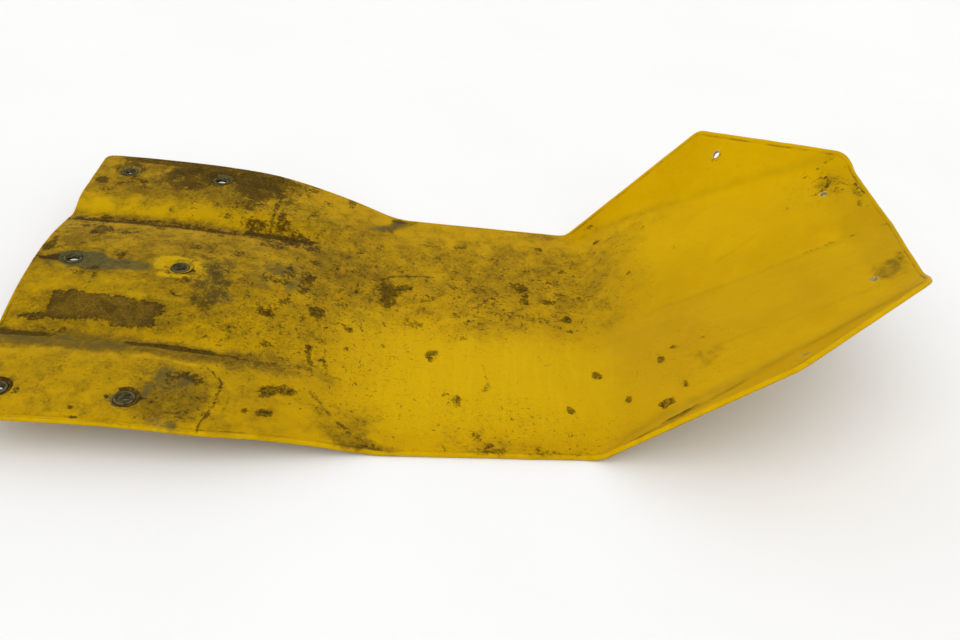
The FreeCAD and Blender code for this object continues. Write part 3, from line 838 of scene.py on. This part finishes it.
def eyelet_metal():
    """Weathered metal: rubbed bare on the crown, dark in the bore, and dirty on the brim."""
    n = Nodes("weathered_eyelet")
    mottled = n.noise(230.0, 8.0, 0.65, 0.5)
    fine = n.noise(900.0, 6.0, 0.65)
    worn, sunk, coat, dark, grey = (n.mark(key) for key in RING_MARKS)
    colour = n.mix(mottled.ramp(0.42, 0.58), METAL, METAL_DARK)
    bare = n.broken(worn, mottled * 0.5 + fine * 0.5, 2.6, 0.2)
    colour = n.mix(bare * 0.8, colour, METAL_BARE)
    rust = n.broken(sunk, mottled, 1.2, 0.22)
    colour = n.mix(rust * 0.92, colour, n.mix(fine.ramp(0.4, 0.62), BORE, BORE_DARK))
    shade = dark + (mottled - 0.5) * 1.6
    dirt = n.mix(shade.ramp(0.15, 0.6), BRIM, FILM)
    dirt = n.mix(shade.ramp(0.55, 0.95), dirt, n.mix(fine.ramp(0.45, 0.6), BROWN, GRIME))
    dirt = n.mix(n.broken(grey, mottled, 1.6, 0.25), dirt,
                 n.mix(fine.ramp(0.42, 0.58), GREY, GREY_LIGHT))
    coated = n.broken(coat, mottled, 1.2, 0.3)
    colour = n.mix(coated * 0.96, colour, dirt)
    roughness = n.math("ADD", fine.ramp(0.3, 0.7, 0.5, 0.72), sunk * 0.3, clamp=True)
    normal = n.bump(fine, 0.00012, n.bump(mottled, 0.00035))
    return n.finish(colour, roughness, normal, bare * 0.3 * (1.0 - coated), DULL_METAL)


def washer_steel():
    """Plated steel, turned, with a little rust."""
    n = Nodes("plated_washer_steel")
    mottled = n.noise(200.0, 8.0, 0.62, 0.3)
    fine = n.noise(1200.0, 5.0, 0.6)
    colour = n.mix(mottled.ramp(0.4, 0.62), STEEL, STEEL_DARK)
    rust = (mottled + fine * 0.2).ramp(0.66, 0.76)
    colour = n.mix(rust * 0.8, colour, RUST)
    turned = n.noise(1.0, 4.0, 0.6, 0.0, n.stretched((500.0, 500.0, 60.0)))
    roughness = turned.ramp(0.3, 0.7, 0.34, 0.52)
    return n.finish(colour, roughness, n.bump(mottled + fine, 0.0001), 0.95 - rust * 0.7)


# ---- the moulded shell ----
def dish_depth(radius):
    """Depth of a bolt hole's dished recess, with its lip and foot eased."""
    slope = DISH_DEPTH / (DISH_RADIUS - DISH_FOOT_RADIUS)
    fall = soft_max((DISH_RADIUS - radius) * slope, 0.0, LIP_EASE)
    return float(soft_min(fall, DISH_DEPTH, FOOT_EASE))


BARREL_RADIUS = 7.0
LIP_EASE, FOOT_EASE = 0.7, 0.5
# Profiles run from the top round to the underside: inset, depth, and how far it is still top.
dish_rings = [17.0, 15.8, 15.0, 14.4, 13.8, 13.2, 12.4, 11.6, 10.8, 10.0, 9.2, 8.5, 7.9, 7.4]
dish_top = [(radius - BARREL_RADIUS, dish_depth(radius), 1.0) for radius in dish_rings]
seat_level = THICKNESS - SEAT_DEPTH
shell_bolt_profile = dish_top + [
    (0.05, 3.28, 1.0), (0.0, 3.5, 0.4), (0.0, seat_level - 0.05, 0.0),
    (0.4, seat_level, 0.0), (SEAT_RADIUS - BARREL_RADIUS - 0.1, seat_level, 0.0),
    (SEAT_RADIUS - BARREL_RADIUS, seat_level + 0.1, 0.0),
    (SEAT_RADIUS - BARREL_RADIUS + 0.05, THICKNESS - 0.15, 0.0),
    (SEAT_RADIUS - BARREL_RADIUS + 0.3, THICKNESS, 0.0), (8.0, THICKNESS, 0.0)]
doubler_bolt_profile = dish_top + [
    (0.1, 3.3, 1.0), (0.04, 3.5, 0.6), (0.04, 4.4, 0.3), (0.3, 4.68, 0.0)] + [
    (inset, depth + DOUBLER_THICKNESS, 0.0) for inset, depth, _ in reversed(dish_top[:-2])]
cord_profile = [
    (3.2, 0.0, 1.0), (2.0, 0.0, 1.0), (1.0, 0.06, 1.0), (0.4, 0.25, 1.0), (0.08, 0.6, 0.8),
    (0.0, 1.1, 0.5), (0.0, THICKNESS - 0.9, 0.0), (0.15, THICKNESS - 0.3, 0.0),
    (0.6, THICKNESS, 0.0), (2.4, THICKNESS, 0.0)]


def rim_profile(thickness):
    sides = [(0.0, 1.3), (0.0, thickness / 2), (0.0, thickness - 1.2), (0.1, thickness - 0.7),
             (0.4, thickness - 0.25), (1.0, thickness), (4.0, thickness)]
    rim_top = RIM_TOP
    if thickness < THICKNESS:
        sides = [(0.0, 0.6), (0.0, thickness), (4.0, thickness)]
        rim_top = RIM_TOP[1:-1]
    return rim_top + [(inset, depth, 0.45 if depth < thickness - 1 else 0.0)
                      for inset, depth in sides]


def land_depth(plan):
    """The shell's underside, with the flat land under the waist that it rests on."""
    edge = np.minimum(np.minimum(plan[:, 0] - LAND_ALONG[0], LAND_ALONG[1] - plan[:, 0]),
                      LAND_HALF_WIDTH - np.abs(plan[:, 1]))
    return THICKNESS + REST_LAND * smooth_step(edge, -2.0, 2.0)


def strip_depth(plan):
    """A strip's underside, which runs parallel to its top."""
    return np.full(len(plan), DOUBLER_THICKNESS)


def flush(plan):
    """The shell's top, which stands nowhere proud."""
    return np.zeros(len(plan))


def feathered(side_edge, sign):
    """A strip's height above the shell: it thins out towards the edge beside its valley."""
    def proud(plan):
        beside = (np.abs(plan[:, 1]) - side_edge) * sign
        return DOUBLER_PROUD * (0.1 + 0.9 * smooth_step(beside, -1.0, FEATHER))
    return proud


shell_finish = gel_coat("yellow_gel_coat", 14.0, 0.62)
strip_finish = gel_coat("yellow_doubler_gel_coat", 17.0, 0.12)
shell_holes = [(centre, BARREL_RADIUS, shell_bolt_profile) for centre in BOLT_HOLES]
shell_holes += [(centre, CORD_HOLE_RADIUS, cord_profile) for centre in CORD_HOLES]
make_sheet("moulded_board", BOARD_LINE, rim_profile(THICKNESS), shell_holes, flush,
           SHELL_SPACING, UNDER_SPACING, land_depth, shell_finish, ["board_shell"])

# ---- the doubler strips ----
# Each strip: its column of holes, the across of the edge that thins out beside a valley, which
# way the strip lies from it, and a plan that runs past the board's edge wherever the strip does.
STRIPS = {
    "near_flange_doubler": ("near", 140.0, 1, [(-40, -276), (204.5, -276), (217, -165), (197, -142),
                                               (-40, -140)]),
    "saddle_doubler": ("centre", 74.0, -1, [(-40, -74), (173, -74), (173, 74), (-40, 74)]),
    "far_flange_doubler": ("far", 140.0, 1, [(-40, 140), (213, 140), (213, 276), (-40, 276)]),
}
STRIP_INSET = 0.5
STRIP_WAVER, STRIP_WAVER_SIZE = 0.5, 14.0
CORNER_ROUNDS = 16                     # how often a strip's corners are eased
FEATHER = 16.0                         # width over which a strip's side edge thins out
inset_line = BOARD_LINE + left_normals(BOARD_LINE) * STRIP_INSET
for node, (column, side_edge, sign, corners) in STRIPS.items():
    line = softened(clipped(inset_line, corners), CORNER_ROUNDS)
    waver = STRIP_WAVER * cloud(line, STRIP_WAVER_SIZE, 9, 2)
    line = line + left_normals(line) * waver[:, None]
    holes = [((along, HOLE_COLUMNS[column]), BARREL_RADIUS, doubler_bolt_profile)
             for along in HOLE_ROWS.values()]
    make_sheet(node.replace("doubler", "strip"), line, rim_profile(DOUBLER_THICKNESS), holes,
               feathered(side_edge, sign), STRIP_SPACING, UNDER_SPACING, strip_depth, strip_finish,
               [node])

# ---- eyelets and washers ----
SEGMENTS = 72
BORE_RADIUS = 6.2                      # from here outwards an eyelet is pressed uneven
EYELET_SECTION = [
    # radius, height from the strip's top, worn, sunk, coat, and how far dirt closes it to a slit
    (13.2, -0.44, 0, 0, 1), (13.38, -0.26, 0, 0, 1), (13.15, -0.16, 0.1, 0, 1), (12.5, -0.42, 0, 0, 1),
    (11.6, -0.85, 0, 0.1, 1), (10.7, -1.3, 0, 0.2, 1), (10, -1.66, 0, 0.6, 0.7), (9.5, -1.86, 0, 0.9, 0.4),
    (9.2, -1.8, 0.1, 0.6, 0.2), (8.95, -1.5, 0.4, 0.1, 0), (8.6, -1.18, 0.8, 0, 0),
    (8.1, -1.02, 0.9, 0, 0), (7.5, -1.1, 0.6, 0, 0), (7, -1.42, 0.3, 0.1, 0), (6.7, -1.85, 0.1, 0.2, 0),
    (6.5, -2.1, 0, 0.1, 0, 0.3), (6.3, -2.25, 0, 0.1, 0, 0.6), (6.2, -2.42, 0, 0.3, 0, 0.85),
    (6.1, -2.7, 0, 0.9, 0, 1), (6, -3.1, 0, 1.2, 0, 1), (6, -3.5, 0, 1.2, 0, 0.95),
    (6, -3.8, 0, 1.2, 0, 0.5), (6, -4.2, 0, 1.2, 0, 0.1), (6, -5.3, 0, 1.2, 0), (6, -6.2, 0.1, 1, 0),
    (6.12, -6.5, 0.4, 0.7, 0), (6.4, -6.66, 0.7, 0.5, 0), (6.8, -6.66, 0.8, 0.4, 0),
    (7.5, -6.5, 0.7, 0.3, 0), (8.3, -6.22, 0.6, 0.3, 0), (8.95, -5.98, 0.6, 0.4, 0),
    (9.12, -5.88, 0.4, 0.5, 0), (8.9, -5.82, 0.2, 0.6, 0), (6.88, -5.82, 0, 0.8, 0), (6.88, -4, 0, 0.8, 0),
    (7, -3.3, 0, 0.8, 0), (7.7, -3.18, 0, 0.7, 0), (9, -2.5, 0, 0.6, 0), (11, -1.5, 0, 0.5, 0.5),
    (12.9, -0.6, 0.2, 0.3, 1),
]
# Each eyelet: the open slit left in its caked bore (half length, half width, along, across),
# how dark its brim is and how grey.
EYELET_STATES = {
    "near_end": ((4.2, 2.4, 0.8, 0.6), 0.90, 0.15),
    "near_inner": ((3.4, 1.7, 1.2, -0.4), 0.82, 0.30),
    "centre_end": ((5.4, 2.35, 0.0, -0.6), 0.50, 0.95),
    "centre_inner": ((4.6, 1.1, 1.4, -1.6), 0.28, 0.0),
    "far_end": ((4.2, 1.0, 0.6, -1.4), 0.52, 0.45),
    "far_inner": ((6.2, 2.9, 0.4, -0.8), 0.72, 0.60),
}
CLEAN_STATE = ((0.0, 0.0, 0.0, 0.0), 0.0, 0.0)      # a washer's: no slit, not dark, not grey
WASHER_SECTION = [(radius, height, 0, 0, 0) for radius, height in (
    (7.05, -5.6), (7.25, -5.75), (7.6, -5.80), (11.5, -5.80), (11.85, -5.7), (11.98, -5.5),
    (11.98, -5.05), (11.8, -4.85), (11.4, -4.80), (7.5, -4.80), (7.2, -4.83), (7.05, -4.95))]


def make_revolved(name, centre, section, seed, state, material, node):
    """A section turned about a hole's axis, pressed a little uneven and caked with dirt."""
    (slit_length, slit_width, slit_along, slit_across), dark, grey = state
    base = top_height(*centre) + DOUBLER_PROUD
    turn = np.arange(SEGMENTS) * 2 * math.pi / SEGMENTS
    around = np.column_stack([np.cos(turn), np.sin(turn)])
    points = []
    values = {key: [] for key in RING_MARKS}
    for radius, height, worn_here, sunk, coat, *rest in section:
        closed = sum(rest)
        uneven = cloud(around * 30.0 + radius * 2.0, 14.0, seed, 3) - 0.5
        waver = 0.5 * max(0.0, (radius - BORE_RADIUS) / BARREL_RADIUS) * (slit_length > 0)
        open_bore = around * (radius - waver * np.abs(uneven))[:, None]
        slit = around * np.array([slit_length, slit_width]) * (1 + 0.7 * uneven)[:, None]
        slit = slit + np.array([slit_along, slit_across])
        place = np.array(centre) + open_bore * (1 - closed) + slit * closed
        level = base + height + 2 * waver * (uneven - 0.25)
        points.append(np.column_stack([place[:, 0] - MIDDLE_ALONG, place[:, 1], level]))
        worn = worn_here * (0.30 + 1.1 * np.clip(0.5 + 2.4 * uneven, 0, 1))
        for key, value in zip(RING_MARKS, (worn, sunk, coat, dark, grey)):
            values[key].append(value + np.zeros(SEGMENTS))
    rings = len(section)
    faces = []
    for k in range(rings):
        a, b = k * SEGMENTS, (k + 1) % rings * SEGMENTS
        faces += [(a + i, a + (i + 1) % SEGMENTS, b + (i + 1) % SEGMENTS, b + i)
                  for i in range(SEGMENTS)]
    attributes = {key: np.concatenate(rows) for key, rows in values.items()}
    return new_piece(name, np.vstack(points), faces, attributes, material, [node])


eyelet_finish = eyelet_metal()
washer_finish = washer_steel()
seed = 60                              # counts up, one for each eyelet with its washer
for column, across in HOLE_COLUMNS.items():
    for row, along in HOLE_ROWS.items():
        seed += 1
        tag = column + "_" + row
        make_revolved("pressed_eyelet_" + tag, (along, across), EYELET_SECTION, seed,
                      EYELET_STATES[tag], eyelet_finish, "eyelet_" + tag)
        make_revolved("backing_washer_" + tag, (along, across), WASHER_SECTION, seed,
                      CLEAN_STATE, washer_finish, "washer_" + tag)


# ---- floor, light and camera ----
FLOOR_LEVEL, FLAT, BEND, WALL = -0.0003, 9.0, 3.0, 5.0          # in metres
BEND_STEPS, SIDES = 13, 96
FLOOR_PALE = (0.94, 0.94, 0.935)
FLOOR_DARK = (0.92, 0.92, 0.915)


def make_floor():
    """A pale floor that sweeps up, far off, into a round wall, so that no horizon shows."""
    n = Nodes("pale_floor")
    colour = n.mix(n.noise(3.0, 3.0).ramp(0.3, 0.7), FLOOR_PALE, FLOOR_DARK)
    material = n.finish(colour, 0.9, n.bump(n.noise(400.0, 3.0), 0.00002))
    turns = np.linspace(0.0, math.pi / 2, BEND_STEPS)
    section = [(FLAT + BEND * math.sin(a), FLOOR_LEVEL + BEND * (1 - math.cos(a))) for a in turns]
    section.append((FLAT + BEND, FLOOR_LEVEL + WALL))
    around = np.arange(SIDES) * 2 * math.pi / SIDES
    points = [(radius * math.cos(a), radius * math.sin(a), height)
              for radius, height in section for a in around]
    faces = [tuple(range(SIDES))]
    for k in range(len(section) - 1):
        for i in range(SIDES):
            j = (i + 1) % SIDES
            faces.append((k * SIDES + i, (k + 1) * SIDES + i, (k + 1) * SIDES + j, k * SIDES + j))
    mesh = bpy.data.meshes.new("floor")
    mesh.from_pydata(points, [], faces)
    mesh.materials.append(material)
    mesh.shade_smooth()
    floor = bpy.data.objects.new("floor", mesh)
    bpy.context.scene.collection.objects.link(floor)


def add_light(name, direction, spread, strength):
    """A broad, far-off light, like a large soft box, that shines along a direction."""
    light = bpy.data.lights.new(name, "SUN")
    light.angle = math.radians(spread)
    light.energy = strength
    thing = bpy.data.objects.new(name, light)
    thing.rotation_euler = Vector(direction).to_track_quat("-Z", "Y").to_euler()
    bpy.context.scene.collection.objects.link(thing)


WORLD_STRENGTH = 0.66
CAMERA_PLACE = (-0.0271, -0.8500, 0.6059)
CAMERA_TURN = (54.84, -4.80, -0.235)
LENS, SENSOR_WIDTH = 37.5, 36.0
NEAREST, FARTHEST = 0.02, 60.0

make_floor()
add_light("key", direction=(0.40, 0.62, -1.0), spread=55.0, strength=1.12)
add_light("fill", direction=(-0.55, 0.15, -1.0), spread=80.0, strength=0.30)
world = bpy.data.worlds.new("studio")
world.use_nodes = True
background = world.node_tree.nodes["Background"]
background.inputs["Color"].default_value = (1.0, 1.0, 1.0, 1.0)
background.inputs["Strength"].default_value = WORLD_STRENGTH
bpy.context.scene.world = world

camera_data = bpy.data.cameras.new("photo_camera")
camera_data.lens = LENS
camera_data.sensor_width = SENSOR_WIDTH
camera_data.clip_start = NEAREST
camera_data.clip_end = FARTHEST
camera_data.dof.use_dof = False
camera = bpy.data.objects.new("photo_camera", camera_data)
camera.location = CAMERA_PLACE
camera.rotation_euler = Euler([math.radians(a) for a in CAMERA_TURN])
bpy.context.scene.collection.objects.link(camera)
bpy.context.scene.camera = camera
bpy.context.scene.view_settings.view_transform = "Standard"
